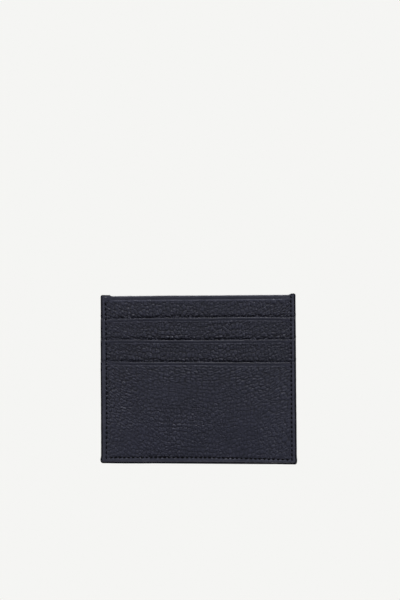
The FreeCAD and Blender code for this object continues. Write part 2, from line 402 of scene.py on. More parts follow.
def stitch_rows(sign):
    """Heights of the stitches of a side seam, none across a slot mouth."""
    pitch = SIDE_PITCH[sign]
    first = foot_seam(sign * SEAM_X + SEAM_SHIFT)
    rows = first + pitch * np.arange(int((HEIGHT - SIDE_CLEAR[sign] - first) / pitch) + 1)
    for mouth in SLOT_MOUTHS:
        close = np.abs(rows - mouth) < SIDE_STITCH / 2
        rows = np.where(close, mouth + np.where(rows > mouth, 0.5, -0.5) * SIDE_STITCH, rows)
    return rows


def stitch_columns():
    """Places of the stitches along the bottom seam, between the two side seams."""
    count = round(2 * SEAM_X / FOOT_PITCH)
    return np.linspace(-SEAM_X, SEAM_X, count + 1)[1:-1]


def nearest(values, x):
    """Distance from each x to the nearest of a few sorted values."""
    middle = (values[1:] + values[:-1]) / 2
    return np.abs(values[np.searchsorted(middle, x)] - x)


def pressed(aside, along, reach):
    """Share of the channel's depth: a bell across the seam, full along a stitch and slight between two."""
    under = ease((reach - along) / PRESS_EASE)
    return bell(aside / SEAM_WIDTH) * (CHANNEL_SHARE + (1 - CHANNEL_SHARE) * under)


def seam_relief(x, z):
    """The stitch channel, a bell-shaped groove, with a round bell-shaped pit at each needle hole."""
    across = x - SEAM_SHIFT
    foot = foot_seam(x)
    aside = np.abs(x - np.where(x < 0, side_line(-1, z), side_line(1, z)))
    below = np.where(np.abs(across) < SEAM_X, np.abs(z - foot), 9.0)
    aside = np.where(z > foot - 0.3, aside, np.hypot(aside, z - foot))
    along_up = np.where(x < 0, nearest(stitch_rows(-1), z), nearest(stitch_rows(1), z))
    along_foot = nearest(stitch_columns(), across)
    channel = np.maximum(pressed(aside, along_up, SIDE_PRESS), pressed(below, along_foot, FOOT_PRESS))
    side_pit = bell(np.hypot(aside, along_up - SIDE_STITCH / 2) / HOLE_WIDTH)
    foot_pit = bell(np.hypot(below, along_foot - FOOT_STITCH / 2) / HOLE_WIDTH)
    return -SEAM_DEPTH * channel - HOLE_DEPTH * np.maximum(side_pit, foot_pit)


def edge_round(inside):
    """How far the leather bends in at a distance inside its edge, as d (1 - t)^2."""
    return ROUND_DEPTH * np.clip(1 - inside / ROUND_RUN, 0.0, 1.0) ** 2


def low_part(z):
    """1 in the lower part of the pocket, 0 above it."""
    top, run = POCKET_LOW
    return ease((top - z) / run)


def grain_height(layer, x, z, seed):
    """Grain from 0 to 1: pebbles (1 - s) + folds s, with more folds at the sides and the pocket's mouth."""
    side_pull = grown(np.abs(x), PULL_OUT) * grown(z, PULL_UP)
    if layer == "pocket":
        share = FOLD_SHARE + 0.42 * side_pull + 0.34 * grown(z, POCKET_FOLDS) * (1 - side_pull)
    else:
        share = FOLD_SHARE + 0.16 * side_pull
    return pebbles(x, z, seed) * (1 - share) + wrinkles(x, z, seed) * share


def grain_depth(layer, x, z, side, seed):
    """Depth of the grain in mm: it varies slowly, grows just above the next mouth and ends behind it."""
    depth = GRAIN_DEPTH[layer] * (1 + 0.30 * drift(x, z, 12.0, seed + 21))
    if layer == "pocket":
        low = low_part(z)
        depth = depth * (1 - 0.30 * grown(x, POCKET_CALM) * (1 - 0.4 * low)) * (1 + 0.04 * low)
    if NEXT[layer]:
        above = z - mouth_line(NEXT[layer], x, side)
        depth = depth * (1 + 0.75 * ease(1 - above / 3.0)) * ease(1 + above / 0.8)
    return depth


def lip_relief(layer, x, drop):
    """A swelling under the mouth, and below it a pressed line that fades towards the seams: two bells."""
    fade = ease((SEAM_X - CREASE_END - np.abs(x)) / CREASE_FADE)
    groove = CREASE_DEPTH[layer] * bell((drop - CREASE_DROP[layer]) / CREASE_WIDTH) * fade
    height, place, width = LIP_SWELL
    return height * bell((drop - place) / width) - groove


def face_relief(layer, x, z, side):
    """Outward relief of a leather face in mm, and its tone.

    The relief is depth (grain - middle), less near the edges and the mouth, plus
    the lip, a slow wave, the seams, the ridge outside them and the rounded edge.
    The tone is up to 0.8 for grain, 0.9 where burnished, which is also a painted highlight, and 1 at the
    painted highlight of the ear fold; painted shade lowers it on some layers.
    """
    seed = 100 * LAYERS.index(layer) + 50 * (side + 1)
    height = grain_height(layer, x, z, seed) - GRAIN_MIDDLE
    drop = mouth_line(layer, x, side) - z
    to_edge = np.minimum(HALF_WIDTH - np.abs(x), z)
    inner = grown(to_edge, GRAIN_EDGE)
    rough = grown(drop, (SMOOTH_LIP[layer], LIP_FADE))
    outside = np.maximum(np.where(x < 0, side_line(-1, z) - x, x - side_line(1, z)), foot_seam(x) - z)
    relief = grain_depth(layer, x, z, side, seed) * height * (0.18 + 0.82 * inner) * (0.12 + 0.88 * rough)
    relief = relief + lip_relief(layer, x, drop) + 0.05 * drift(x, z, 17.0, seed + 22) * inner
    relief = relief + seam_relief(x, z) + RIDGE * bell((outside - RIDGE_PLACE) / RIDGE_WIDTH)
    relief = relief - edge_round(to_edge)
    lip_run = BURNISH_HIGHLIGHT_RUN[layer]
    # burnished leather outside the seams and along the mouth, which is also a painted highlight
    burnish_and_highlight = np.maximum(ease((outside - 0.30) / 0.35), ease((lip_run - drop) / (0.35 * lip_run)))
    # painted shade: each layer's grain tone is lowered by its own amount
    tone = 0.8 * (GRAIN_MIDDLE + height * inner * (0.2 + 0.8 * rough)) - GRAIN_SHADE_DROP[layer]
    if layer == "pocket":
        tone = tone + 0.09 * low_part(z) - 0.035 * grown(z, POCKET_HIGH)
    tone = tone + (0.9 - tone) * burnish_and_highlight
    # the fold under the left ear rises a little and gets a painted highlight in its tone
    if layer == "panel":
        fold = bell(np.hypot((x + EAR_FOLD[0]) / EAR_FOLD_SIZE[0], (drop - EAR_FOLD[1]) / EAR_FOLD_SIZE[1]))
        tone = np.maximum(tone, 1.1 * fold)
        relief = relief + EAR_FOLD_RISE * fold
    return relief, tone


def face_depth(x, z, side):
    """Distance from the middle plane of the leather that shows at a place on one face."""
    depth = sheet_depth("panel", OUTER["panel"], x, z, side)
    for layer in LAYERS[1:]:
        over = sheet_depth(layer, OUTER[layer], x, z, side)
        depth = np.where(z < mouth_line(layer, x, side), over, depth)
    return depth


# ------------------------ meshes


def make_piece(name, points, quads, caps):
    """A mesh object from points in millimetres, an (n, 4) array of smooth quads and a few flat caps."""
    mesh = bpy.data.meshes.new(name)
    faces = quads.tolist() + [list(cap) for cap in caps]
    mesh.from_pydata((points * MM).tolist(), [], faces)
    mesh.polygons.foreach_set("use_smooth", [True] * len(quads) + [False] * len(caps))
    mesh.update()
    piece = bpy.data.objects.new(name, mesh)
    bpy.context.collection.objects.link(piece)
    return piece


def paint_attribute(piece, name, values):
    """One number for each point of a piece, for its material to read."""
    layer = piece.data.attributes.new(name, "FLOAT", "POINT")
    layer.data.foreach_set("value", values.astype(np.float32).ravel())


def loop_quads(rows, columns, side):
    """Quads of a grid whose rows close into a loop; the order turns the faces outwards."""
    r, c = np.meshgrid(np.arange(rows), np.arange(columns - 1), indexing="ij")
    nxt = (r + 1) % rows
    corners = [r * columns + c, r * columns + c + 1, nxt * columns + c + 1, nxt * columns + c]
    quads = np.stack([corner.ravel() for corner in corners], axis=1)
    return quads if side < 0 else quads[:, ::-1]


def ring_quads(rows, columns):
    """Quads between neighbouring rows of points, where each row is a closed ring."""
    r, c = np.meshgrid(np.arange(rows - 1), np.arange(columns), indexing="ij")
    nxt = (c + 1) % columns
    corners = [r * columns + c, r * columns + nxt, (r + 1) * columns + nxt, (r + 1) * columns + c]
    return np.stack([corner.ravel() for corner in corners], axis=1)


def sheet_arrays(side, x, front, back, lip_steps=4):
    """A closed sheet. front and back are (z, depth) grids with rows from the foot up to the mouth.

    The section at each x runs up the front, over the mouth in half an ellipse
    (depth = middle + half cos t, z = top + lip sin t) and down the back.
    """
    front_z, front_y = front
    back_z, back_y = back
    middle, half = (front_y[-1] + back_y[-1]) / 2, (front_y[-1] - back_y[-1]) / 2
    turn = np.linspace(0, math.pi, lip_steps + 2)[1:-1, None]
    lip = np.minimum(half, 0.3)
    lip_y = middle + half * np.cos(turn)
    lip_z = front_z[-1] + lip * np.sin(turn)
    z = np.concatenate([front_z, lip_z, back_z[::-1]])
    y = np.concatenate([front_y, lip_y, back_y[::-1]])
    rows, columns = z.shape
    points = np.stack([np.broadcast_to(x, z.shape), side * y, z], axis=-1).reshape(-1, 3)
    left = np.arange(rows) * columns
    right = left + columns - 1
    caps = [left, right[::-1]] if side < 0 else [left[::-1], right]
    return points, loop_quads(rows, columns, side), [cap.tolist() for cap in caps]


def closed_sheet(name, side, x, front, back, lip_steps=4):
    """A closed sheet as a piece, and its number of points."""
    points, quads, caps = sheet_arrays(side, x, front, back, lip_steps)
    return make_piece(name, points, quads, caps), len(points)


def join_arrays(name, parts):
    """One piece from several closed meshes given as (points, quads, caps)."""
    points, quads, caps, start = [], [], [], 0
    for part_points, part_quads, part_caps in parts:
        points.append(part_points)
        quads.append(part_quads + start)
        caps.extend([[index + start for index in cap] for cap in part_caps])
        start += len(part_points)
    return make_piece(name, np.concatenate(points), np.concatenate(quads), caps)


def height_rows(low, high, fine_from, fine, coarse):
    """Row heights as shares from 0 at the foot to 1 at the mouth: coarse below fine_from, fine above."""
    below = np.arange(low, fine_from, coarse) if fine_from > low else np.array([])
    above = np.linspace(max(fine_from, low), high, max(int((high - max(fine_from, low)) / fine), 2))
    heights = np.concatenate([below[below < above[0] - 0.2 * coarse], above])
    return ((heights - heights[0]) / (heights[-1] - heights[0]))[:, None]


def rows_between(share, low, high):
    """Row heights at every x, between a lower and an upper line."""
    return low + share * (high - low)


def sheet_foot(layer, x, foot):
    """Lower edge of a sheet at x: only the panel and the pocket reach the rounded bottom."""
    return foot_line(x, foot) if layer in ("panel", "pocket") else foot + 0 * x


def finish_piece(piece, node, finish):
    """Rides a piece on the holder, hides its node and gives the piece its finish."""
    piece.data.materials.append(finish)
    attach(piece, "root")
    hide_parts(node)
    return piece


def leather_sheet(face, layer, finish):
    """One leather sheet: a fine grained face where it shows, plain behind and below."""
    side = SIDES[face]
    x = np.linspace(-LEATHER_HALF, LEATHER_HALF, int(2 * LEATHER_HALF / FINE))
    top = mouth_line(layer, x, side) - LEATHER_DROP
    foot = sheet_foot(layer, x, FOOT[layer])
    shown_from = MOUTHS[NEXT[layer]] - HIDDEN_GRAIN if NEXT[layer] else FOOT[layer]
    share = height_rows(FOOT[layer], MOUTHS[layer], shown_from, FINE, COARSE)
    z = rows_between(share, foot, top)
    wide = np.broadcast_to(x, z.shape)
    relief, grain = face_relief(layer, wide, z, side)
    front_y = sheet_depth(layer, OUTER[layer], wide, z, side) + relief
    back_share = np.linspace(0, 1, 14)[:, None]
    back_z = rows_between(back_share, foot, top)
    back_y = sheet_depth(layer, INNER[layer], np.broadcast_to(x, back_z.shape), back_z, side)
    name = face + "_" + layer + "_grained_leather"
    piece, count = closed_sheet(name, side, x, (z, front_y), (back_z, back_y))
    values = np.full(count, HIDDEN_TONE)
    values[: grain.size] = grain.ravel()
    paint_attribute(piece, "grain", values)
    return finish_piece(piece, face + "_" + layer + "_leather", finish)


def lining_sheet(face, layer, finish):
    """The cloth glued behind a leather sheet, which hangs on below it in the two stepped slots."""
    side = SIDES[face]
    x = np.linspace(-LEATHER_HALF, LEATHER_HALF, 120)
    top = mouth_line(layer, x, side) - CLOTH_DROP
    share = np.linspace(0, 1, 90)[:, None]
    z = rows_between(share, sheet_foot(layer, x, CLOTH_FOOT[layer]), top)
    wide = np.broadcast_to(x, z.shape)
    front_y = sheet_depth(layer, INNER[layer], wide, z, side)
    back_y = sheet_depth(layer, CLOTH[layer], wide, z, side) + 0.01 * drift(wide, z, 4.0, 5)
    piece, _ = closed_sheet(face + "_" + layer + "_lining_cloth", side, x, (z, front_y), (z, back_y))
    finish_piece(piece, face + "_" + layer + "_lining", finish)


def mouth_coat(face, layer, finish):
    """The painted edge along a mouth: a half-round bead over leather and lining."""
    side = SIDES[face]
    x = np.linspace(-LEATHER_HALF, LEATHER_HALF, int(2 * LEATHER_HALF / COAT_STEP))
    top = mouth_line(layer, x, side)
    share = np.linspace(0, 1, 3)[:, None]
    z = rows_between(share, top - COAT_DROP, top - LEATHER_DROP)
    wide = np.broadcast_to(x, z.shape)
    bulge = COAT_BULGE[0] + COAT_BULGE[1] * drift(wide, z, 2.2, 77 + LAYERS.index(layer))
    relief, _ = face_relief(layer, wide, z, side)
    front_y = sheet_depth(layer, OUTER[layer], wide, z, side) + relief + bulge * share
    back_y = sheet_depth(layer, CLOTH[layer], wide, z, side) - bulge * share
    piece, count = closed_sheet(face + "_" + layer + "_mouth_coat", side, x, (z, front_y), (z, back_y), 8)
    # paler lips as painted highlight, none on the ears, which keep the plain edge paint
    wear_and_highlight = COAT_HIGHLIGHT[layer] * (between_ears(x) if layer == "panel" else np.ones(x.shape))
    paint_attribute(piece, "wear_and_highlight", np.tile(wear_and_highlight, count // x.size))
    finish_piece(piece, face + "_" + layer + "_mouth_paint", finish)


def behind(layer, x, z, side):
    """Depth of what lies behind a slot's own sheet at its glued margins."""
    board = sheet_depth("panel", OUTER["panel"], x, z, side)
    if layer == "upper_slot":
        return board
    previous = LAYERS[LAYERS.index(layer) - 1]
    tail = sheet_depth(previous, INNER[previous], x, z, side)
    strip = sheet_depth(previous, OUTER[previous], x, z, side)
    depth = np.where(z > CLOTH_FOOT[previous], tail, board)
    return np.where(z > FOOT[previous], strip, depth)


def margin_part(side, x_range, low, high, inner_depth, outer_depth):
    """One glued strip between two sheets, as closed mesh arrays."""
    step_x, step_z = MARGIN_STEPS
    x = np.linspace(x_range[0], x_range[1], max(int((x_range[1] - x_range[0]) / step_x), 3))
    share = np.linspace(0, 1, max(int((high - low) / step_z), 3))[:, None]
    z = rows_between(share, low + 0 * x, high + 0 * x)
    wide = np.broadcast_to(x, z.shape)
    return sheet_arrays(side, x, (z, outer_depth(wide, z)), (z, inner_depth(wide, z)), 1)


def glued_margins(side, low, high, stop, inner_depth, outer_depth):
    """The left, foot and right margins between two sheets; the foot ends at the stop."""
    outer = LEATHER_HALF - MARGIN_INSET
    runs = [(-outer, -CLEAR_HALF, high), (-CLEAR_HALF, CLEAR_HALF, stop), (CLEAR_HALF, outer, high)]
    return [margin_part(side, (a, b), low, top, inner_depth, outer_depth) for a, b, top in runs]


def slot_margins(face, layer, finish):
    """The glued margins of one slot, between its lining and what lies behind."""
    side = SIDES[face]
    node = face + "_" + layer + "_margins"
    low, high = span(node)[0][2], MOUTHS[layer] - MARGIN_DROP
    stop = SEAM_Z + FOOT_GLUE if layer == "pocket" else CLOTH_FOOT[layer] + STOP_RISE

    def inner_depth(x, z):
        return behind(layer, x, z, side)

    def outer_depth(x, z):
        return np.maximum(sheet_depth(layer, CLOTH[layer], x, z, side), inner_depth(x, z) + 0.02)

    parts = glued_margins(side, low, high, stop, inner_depth, outer_depth)
    finish_piece(join_arrays(node + "_glued", parts), node, finish)


def centre_margins(finish):
    """The glued margins of the centre pocket, between the two panel linings."""
    node = "centre_pocket_margins"
    low, high = span(node)[0][2], HEIGHT - TOP_DIP - MARGIN_DROP

    def front_depth(x, z):
        return sheet_depth("panel", CLOTH["panel"], x, z, SIDES["front"])

    def back_depth(x, z):
        return -sheet_depth("panel", CLOTH["panel"], x, z, SIDES["back"])

    parts = glued_margins(SIDES["front"], low, high, SEAM_Z + FOOT_GLUE, back_depth, front_depth)
    finish_piece(join_arrays(node + "_glued", parts), node, finish)


def thread_dashes(x, z, lean, depth, side, seed, stitch, thick):
    """Visible lengths of thread as bent capsules, one for each (x, z), stitch long and thick in radius.

    Along u from -1 to 1 the thread lies at depth - dive u^4 with a radius that
    narrows as sqrt(1 - 0.8 u^4), and it is flattened to 0.8 of its width. lean is
    its direction in the XZ plane.
    """
    random = np.random.default_rng(seed)
    count = len(x)
    lean = lean + random.normal(0, 0.05, count)
    length = stitch * (1 + random.normal(0, 0.05, count)) / 2
    u = np.linspace(-1, 1, THREAD_STEPS)
    around = np.arange(THREAD_SIDES) * 2 * math.pi / THREAD_SIDES
    radius = thick * np.sqrt(1 - 0.8 * u ** 4)
    across = radius[None, :, None] * np.cos(around)[None, None, :]
    out = 0.8 * radius[None, :, None] * np.sin(around)[None, None, :]
    reach = length[:, None, None] * u[None, :, None]
    dx, dz = np.cos(lean)[:, None, None], np.sin(lean)[:, None, None]
    px = x[:, None, None] + reach * dx - across * dz
    pz = z[:, None, None] + reach * dz + across * dx
    py = side * (depth[:, None, None] - THREAD_DIVE * u[None, :, None] ** 4 + out)
    points = np.stack([px, py, pz], axis=-1).reshape(-1, 3)
    start = np.arange(count)[:, None] * THREAD_STEPS * THREAD_SIDES
    quads = (ring_quads(THREAD_STEPS, THREAD_SIDES)[None] + start[:, :, None]).reshape(-1, 4)
    first = start + np.arange(THREAD_SIDES)[None, :]
    last = first + (THREAD_STEPS - 1) * THREAD_SIDES
    if side > 0:
        quads, first, last = quads[:, ::-1], first[:, ::-1], last[:, ::-1]
    return points, quads, first[:, ::-1].tolist() + last.tolist()


def thread_depth(x, z, side):
    """Depth of the thread's middle line, sunk into its pressed channel."""
    return face_depth(x, z, side) - THREAD_SINK


def side_seam(name, sign, finish):
    """The thread of one side seam on both faces."""
    z = stitch_rows(sign)
    x = side_line(sign, z)
    parts = [thread_dashes(x, z, math.pi / 2 - THREAD_SLANT * side, thread_depth(x, z, side), side,
                           11 + side + 4 * sign, SIDE_STITCH, SIDE_RADIUS) for side in SIDES.values()]
    finish_piece(join_arrays("thread_" + name, parts), "seam_stitches_" + name, finish)


def bottom_seam(finish):
    """The thread of the bottom seam on both faces."""
    x = stitch_columns() + SEAM_SHIFT
    z = foot_seam(x)
    parts = [thread_dashes(x, z, THREAD_SLANT * side, thread_depth(x, z, side), side,
                           21 + side, FOOT_STITCH, FOOT_RADIUS) for side in SIDES.values()]
    finish_piece(join_arrays("thread_bottom", parts), "seam_stitches_bottom", finish)


def tack_row(face, layer, finish):
    """The hidden row of thread at the foot of a slot's cloth tail."""
    side = SIDES[face]
    node = face + "_" + layer + "_tack_stitches"
    low, high = span(node)
    x = np.linspace(low[0], high[0], TACKS)
    z = np.full(x.shape, centre(node, 2))
    depth = sheet_depth(layer, INNER[layer], x, z, side) - 0.1
    parts = [thread_dashes(x, z, 0.0, depth, side, 41 + side, FOOT_STITCH, SIDE_RADIUS)]
    finish_piece(join_arrays(node + "_thread", parts), node, finish)


def corner_flare(x, z):
    """The painted edge stands out near its foot: a bell above each corner, on the left a slow rise too."""
    swelling = CORNER_FLARE * bell((z - 1.9) / 1.2)
    return np.where(x < 0, -swelling - SIDE_FLARE * np.exp(-z / 14.0), 0.5 * swelling)


def edge_path(name):
    """Outer line of a painted edge as x, z and the outward direction, top end first for the sides.

    The sides run down from a quarter circle at the top corner; the bottom
    has a quarter circle at each end.
    """
    if name == "bottom":
        bend = np.linspace(0, math.pi / 2, 9)
        run = np.linspace(-HALF_WIDTH + BOTTOM_CORNER, HALF_WIDTH - BOTTOM_CORNER, 160)
        left = (-HALF_WIDTH + BOTTOM_CORNER * (1 - np.cos(bend)), BOTTOM_CORNER * (1 - np.sin(bend)),
                -np.cos(bend), -np.sin(bend))
        x = np.concatenate([[-HALF_WIDTH], left[0], run[1:-1], -left[0][::-1], [HALF_WIDTH]])
        z = np.concatenate([[EDGE_JOIN], left[1], 0 * run[1:-1], left[1][::-1], [EDGE_JOIN]])
        out_x = np.concatenate([[-1], left[2], 0 * run[1:-1], -left[2][::-1], [1]])
        out_z = np.concatenate([[0], left[3], 0 * run[1:-1] - 1, left[3][::-1], [0]])
        x = x + corner_flare(x, z) * np.abs(out_x)
        return x, z + foot_bow(x), out_x, out_z
    sign = -1 if name == "left" else 1
    bend = np.linspace(0, math.pi / 2, 8)
    down = np.arange(HEIGHT - TOP_CORNER, EDGE_JOIN, -EDGE_STEP)
    x = np.concatenate([HALF_WIDTH - TOP_CORNER * (1 - np.sin(bend)), np.full(down.size, HALF_WIDTH)])
    z = np.concatenate([HEIGHT - TOP_CORNER * (1 - np.cos(bend)), np.append(down[1:], EDGE_JOIN)])
    out_x = np.concatenate([np.sin(bend), np.ones(down.size)])
    out_z = np.concatenate([np.cos(bend), np.zeros(down.size)])
    x = sign * x
    return x + corner_flare(x, z), z, sign * out_x, out_z


def edge_half_depth(x, z, side):
    """Half thickness of the glued stack beside the edge, as its mean over a short height."""
    offsets = np.linspace(-EDGE_SOFTEN, EDGE_SOFTEN, 7)
    reach = np.clip(z, EDGE_INSIDE, HEIGHT - EDGE_INSIDE)
    inside = np.clip(x, EDGE_INSIDE - HALF_WIDTH, HALF_WIDTH - EDGE_INSIDE)
    return sum(face_depth(inside, reach + shift, side) for shift in offsets) / len(offsets)


def glue_lines(y):
    """Bells from 0 to 1 at the depths where the glued sheets meet under the paint."""
    lines = np.zeros(y.shape)
    for layer in LAYERS:
        for depth in (OUTER[layer], INNER[layer]):
            lines = lines + bell((np.abs(y) - depth * SIDE_SHARE) / 0.07)
    return np.minimum(lines, 1)


def painted_edge(name, finish):
    """The painted edge: a superellipse |n/w|^4.5 + |y/Y|^4.5 = 1 carried along the outline.

    n is the distance inwards from the outline and Y the half thickness of the
    stack there. Shallow lines show where the glued sheets meet under the paint.
    """
    x, z, out_x, out_z = edge_path(name)
    width = EDGE_WIDTH[name]
    turn = np.linspace(-math.pi / 2, math.pi / 2, 43)
    bulge = np.abs(np.cos(turn)) ** (2 / EDGE_POWER)
    height = np.sign(np.sin(turn)) * np.abs(np.sin(turn)) ** (2 / EDGE_POWER)
    y_front, y_back = edge_half_depth(x, z, -1), edge_half_depth(x, z, 1)
    half = np.where(height[None, :] < 0, y_front[:, None], y_back[:, None]) - edge_round(width) + 0.03
    y = height[None, :] * half
    length = np.cumsum(np.hypot(np.diff(x, prepend=x[0]), np.diff(z, prepend=z[0])))[:, None]
    uneven = 0.03 * drift(length + 0 * y, y, 1.7, 61) + 0.03 * drift(length + 0 * y, 0 * y, 9.0, 62)
    nib = NIB * sum(bell((z - mouth - 1.1) / 0.55) for mouth in SLOT_MOUTHS)[:, None] * bulge
    inward_n = np.maximum(width * (1 - bulge) + (0.03 * glue_lines(y) - uneven) * bulge, 0.0) - nib
    inner = np.linspace(1, -1, 7)[1:-1]
    y = np.concatenate([y, inner[None, :] * half[:, -1:]], axis=1)
    inward_n = np.concatenate([inward_n, np.full((len(x), len(inner)), width + 0.05)], axis=1)
    px = x[:, None] - out_x[:, None] * inward_n
    pz = z[:, None] - out_z[:, None] * inward_n
    rows, columns = y.shape
    points = np.stack([px, y, pz], axis=-1).reshape(-1, 3)
    quads = ring_quads(rows, columns)
    first, last = np.arange(columns), (rows - 1) * columns + np.arange(columns)
    caps = [first[::-1], last]
    if name == "right":
        quads, caps = quads[:, ::-1], [first, last[::-1]]
    piece = make_piece("painted_edge_" + name, points, quads, caps)
    paint_attribute(piece, "wear_and_highlight", ease(drift(length + 0 * y, y, 2.4, 63)))
    finish_piece(piece, "edge_paint_" + name, finish)


# ------------------------ finishes


def new_finish(name, specular):
    """A principled material and its node tree; what is the same all over is set on the shader's socket."""
    material = bpy.data.materials.new(name)
    material.use_nodes = True
    tree = material.node_tree
    tree.nodes["Principled BSDF"].inputs["Specular IOR Level"].default_value = specular
    return material, tree


def feed(tree, colour, roughness, normal):
    """Links the three fields of a finish to its shader."""
    shader = tree.nodes["Principled BSDF"]
    tree.links.new(colour, shader.inputs["Base Color"])
    tree.links.new(roughness, shader.inputs["Roughness"])
    tree.links.new(normal, shader.inputs["Normal"])


def attribute(tree, name):
    """The number painted on a piece under a name."""
    node = tree.nodes.new("ShaderNodeAttribute")
    node.attribute_name = name
    return node.outputs["Fac"]


def texture(tree, kind, scale, **settings):
    """A procedural texture on Object coordinates; scale is in cycles per metre."""
    place = tree.nodes.new("ShaderNodeTexCoord")
    node = tree.nodes.new("ShaderNodeTex" + kind)
    node.inputs["Scale"].default_value = scale
    for key, value in settings.items():
        node.inputs[key].default_value = value
    tree.links.new(place.outputs["Object"], node.inputs["Vector"])
    return node


def ramp(tree, source, stops):
    """A colour ramp over a value: stops are (place, colour)."""
    node = tree.nodes.new("ShaderNodeValToRGB")
    elements = node.color_ramp.elements
    while len(elements) < len(stops):
        elements.new(0.5)
    for element, (place, colour) in zip(elements, stops):
        element.position = place
        element.color = (*colour, 1)
    tree.links.new(source, node.inputs["Fac"])
    return node.outputs["Color"]


def ranged(tree, source, low, high):
    """A value from 0 to 1 mapped between two others."""
    node = tree.nodes.new("ShaderNodeMapRange")
    node.inputs["To Min"].default_value = low
    node.inputs["To Max"].default_value = high
    tree.links.new(source, node.inputs["Value"])
    return node.outputs["Result"]


def mixed(tree, blend, factor, first, second):
    """Two colours blended by a mode, with a constant factor."""
    node = tree.nodes.new("ShaderNodeMix")
    node.data_type = "RGBA"
    node.blend_type = blend
    node.inputs["Factor"].default_value = factor
    tree.links.new(first, node.inputs[6])
    tree.links.new(second, node.inputs[7])
    return node.outputs[2]


def bumped(tree, height, strength, distance, under=None):
    """A bump from a height field, distance in metres, over another normal if one is given."""
    node = tree.nodes.new("ShaderNodeBump")
    node.inputs["Strength"].default_value = strength
    node.inputs["Distance"].default_value = distance
    tree.links.new(height, node.inputs["Height"])
    if under:
        tree.links.new(under, node.inputs["Normal"])
    return node.outputs["Normal"]


def grey(value):
    """A neutral colour."""
    return value, value, value


def pebbled_leather():
    """Dark navy leather: darker, duller creases as painted shade, paler domes as painted highlight,
    brighter painted highlights on burnished places and the ear fold, slow cloudy changes and fine pores.
    """
    material, tree = new_finish("pebbled_navy_leather", 0.34)
    grain = attribute(tree, "grain")
    # creases darker as painted shade, domes paler as painted highlight, burnished places and the ear fold
    # brighter as painted highlights
    body = ramp(tree, grain, [(0.04, LEATHER_CREASE_SHADE), (0.36, LEATHER_BODY), (0.76, LEATHER_DOME_HIGHLIGHT),
                              (0.9, LEATHER_RUBBED_HIGHLIGHT), (1.0, LEATHER_FOLD_HIGHLIGHT)])
    cloud = texture(tree, "Noise", 90.0, Detail=3.0, Roughness=0.55)
    clouds = ramp(tree, cloud.outputs["Fac"], [(0.25, (0.78, 0.79, 0.82)), (0.75, (1.2, 1.18, 1.14))])
    fleck = texture(tree, "Noise", 1100.0, Detail=4.0, Roughness=0.6)
    flecks = ramp(tree, fleck.outputs["Fac"], [(0.3, (0.80, 0.80, 0.82)), (0.72, (1.22, 1.22, 1.18))])
    colour = mixed(tree, "MULTIPLY", 1.0, mixed(tree, "MULTIPLY", 1.0, body, clouds), flecks)
    dull = ramp(tree, grain, [(0.08, grey(0.70)), (0.72, grey(0.38))])
    rough = mixed(tree, "LINEAR_LIGHT", 0.10, dull, fleck.outputs["Color"])
    pores = texture(tree, "Voronoi", 2600.0)
    fibre = texture(tree, "Noise", 1700.0, Detail=5.0, Roughness=0.65)
    normal = bumped(tree, pores.outputs["Distance"], 0.25, 0.00006)
    feed(tree, colour, rough, bumped(tree, fibre.outputs["Fac"], 0.45, 0.00010, normal))
    return material


def lining_cloth():
    """Fine plain-woven cloth: two crossed sets of threads, in height, colour and roughness."""
    material, tree = new_finish("woven_lining", 0.2)
    warp = texture(tree, "Wave", 900.0, Distortion=0.6)
    weft = texture(tree, "Wave", 900.0, Distortion=0.6)
    weft.bands_direction = "Z"
    weave = mixed(tree, "MULTIPLY", 1.0, warp.outputs["Color"], weft.outputs["Color"])
    colour = ramp(tree, weave, [(0.0, (0.006, 0.0062, 0.009)), (1.0, (0.026, 0.027, 0.037))])
    fuzz = texture(tree, "Noise", 2500.0, Detail=3.0)
    feed(tree, colour, ranged(tree, fuzz.outputs["Fac"], 0.75, 0.95), bumped(tree, weave, 0.5, 0.00008))
    return material


def bonded_leather():
    """Skived and glued leather between the sheets: fibrous, dull and uneven."""
    material, tree = new_finish("skived_leather", 0.2)
    fibre = texture(tree, "Noise", 800.0, Detail=6.0, Roughness=0.7).outputs["Fac"]
    colour = ramp(tree, fibre, [(0.3, (0.012, 0.012, 0.017)), (0.7, (0.030, 0.030, 0.040))])
    feed(tree, colour, ranged(tree, fibre, 0.7, 0.95), bumped(tree, fibre, 0.5, 0.0001))
    return material


def edge_paint(name, specular, stops):
    """Satin edge paint, paler by a number on each piece: random wear on the outer edges, a painted
    highlight on the mouths; slow waves from brushing and fine pits.
    """
    material, tree = new_finish(name, specular)
    wear_and_highlight = ramp(tree, attribute(tree, "wear_and_highlight"), stops)
    slow = texture(tree, "Noise", 320.0, Detail=3.0).outputs["Fac"]
    waves = ramp(tree, slow, [(0.3, grey(0.70)), (0.75, grey(1.25))])
    colour = mixed(tree, "MULTIPLY", 1.0, wear_and_highlight, waves)
    fine = texture(tree, "Noise", 2200.0, Detail=4.0).outputs["Fac"]
    normal = bumped(tree, slow, 0.25, 0.0002)
    feed(tree, colour, ranged(tree, fine, 0.32, 0.58), bumped(tree, fine, 0.25, 0.00005, normal))
    return material


def waxed_thread():
    """Near-black waxed thread: slanted plies in colour and height."""
    material, tree = new_finish("waxed_thread", 0.06)
    ply = texture(tree, "Wave", 1100.0, Distortion=1.0, Detail=2.0)
    ply.bands_direction = "DIAGONAL"
    plies = ply.outputs["Fac"]
    colour = ramp(tree, plies, [(0.2, (0.0008, 0.0008, 0.0012)), (0.9, (0.0036, 0.0036, 0.0052))])
    fuzz = texture(tree, "Noise", 3000.0, Detail=2.0)
    feed(tree, colour, ranged(tree, fuzz.outputs["Fac"], 0.45, 0.75), bumped(tree, plies, 0.6, 0.0001))
    return material


# ------------------------ studio


